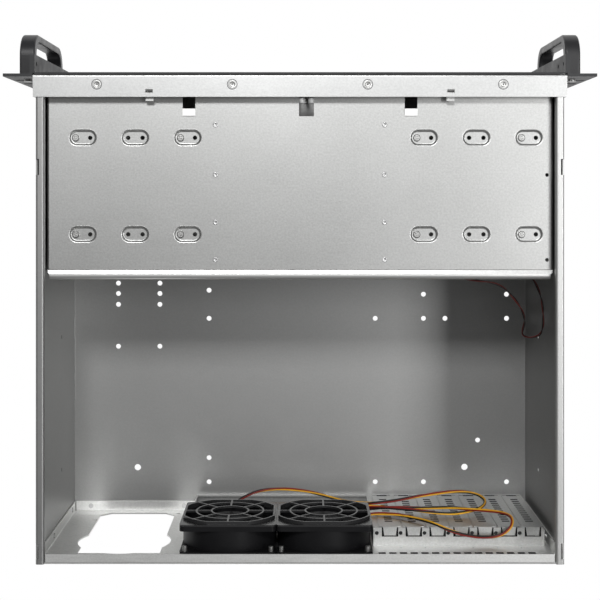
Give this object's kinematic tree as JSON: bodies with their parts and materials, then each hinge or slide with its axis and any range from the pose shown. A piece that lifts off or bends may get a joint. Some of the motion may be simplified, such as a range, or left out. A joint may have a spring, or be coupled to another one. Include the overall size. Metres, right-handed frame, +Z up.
{
  "type": "empty rackmount server case",
  "caption": "Open-topped short-depth rackmount server case of folded plated steel with a black front, drive cage, rear fans, slot covers and handles.",
  "frame": {"origin": "under the middle of the case's overall box, at the underside of the floor", "axes": "+X across the case towards the power supply side, -Y out of the front, +Y out of the rear, +Z up"},
  "size_m": [0.4826, 0.4372, 0.177],
  "materials": {
    "plated_steel": "zinc-plated sheet, satin",
    "black_paint": "fine-textured powder coat",
    "handle_black": "satin black",
    "black_plastic": "fine grain",
    "fan_plastic": "moulded",
    "switch_plastic": "moulded",
    "socket_steel": "plated",
    "lens": "clear moulded",
    "wire_insulation": "soft insulation in red, yellow and black",
    "connector_plastic": "moulded",
    "screw_steel": "plated",
    "rivet_steel": "plain"
  },
  "bodies": {
    "chassis": {"base_tray": "plated_steel", "bay_cover_1": "black_plastic", "bay_cover_2": "black_plastic", "bay_cover_3": "black_plastic", "bay_cover_4": "black_plastic", "bay_cover_5": "black_plastic", "bay_cover_6": "black_plastic", "cage_rivets": "rivet_steel", "cage_screws": "screw_steel", "controls_bracket": "plated_steel", "drive_cage": "plated_steel", "ear_left": "black_paint", "ear_right": "black_paint", "fan_1_frame": "fan_plastic", "fan_1_guard": "fan_plastic", "fan_1_lead": "wire_insulation", "fan_2_frame": "fan_plastic", "fan_2_guard": "fan_plastic", "fan_2_lead": "wire_insulation", "fan_connectors": "connector_plastic", "fan_screws": "screw_steel", "front_frame": "plated_steel", "front_panel": "black_paint", "handle_left": "handle_black", "handle_right": "handle_black", "handle_screws": "screw_steel", "indicator_lenses": "lens", "io_bracket": "plated_steel", "lower_drive_plate_left": "plated_steel", "lower_drive_plate_right": "plated_steel", "panel_connector": "connector_plastic", "panel_lead": "wire_insulation", "partition_left": "plated_steel", "partition_right": "plated_steel", "rear_panel": "plated_steel", "rear_rivets": "rivet_steel", "slot_cover_1": "plated_steel", "slot_cover_2": "plated_steel", "slot_cover_3": "plated_steel", "slot_cover_4": "plated_steel", "slot_cover_5": "plated_steel", "slot_cover_6": "plated_steel", "slot_cover_7": "plated_steel", "strip_screws": "screw_steel", "switches": "switch_plastic", "top_rail": "plated_steel", "usb_sockets": "socket_steel"},
    "fan_1_rotor": {"fan_1_rotor": "fan_plastic"},
    "fan_2_rotor": {"fan_2_rotor": "fan_plastic"},
    "power_button": {"power_button": "black_plastic"},
    "reset_button": {"reset_button": "black_plastic"}
  },
  "joints": [
    {"name": "fan_1_spin", "type": "hinge", "parent": "chassis", "child": "fan_1_rotor", "pos_m": [0.0599, 0.203, 0.1182], "axis": [0, 1, 0], "continuous": true},
    {"name": "fan_2_spin", "type": "hinge", "parent": "chassis", "child": "fan_2_rotor", "pos_m": [-0.0203, 0.203, 0.1182], "axis": [0, 1, 0], "continuous": true},
    {"name": "power_press", "type": "slide", "parent": "chassis", "child": "power_button", "axis": [0, 1, 0], "range_m": [0, 0.002], "stiffness_N_per_m": 600},
    {"name": "reset_press", "type": "slide", "parent": "chassis", "child": "reset_button", "axis": [0, 1, 0], "range_m": [0, 0.002], "stiffness_N_per_m": 600}
  ]
}
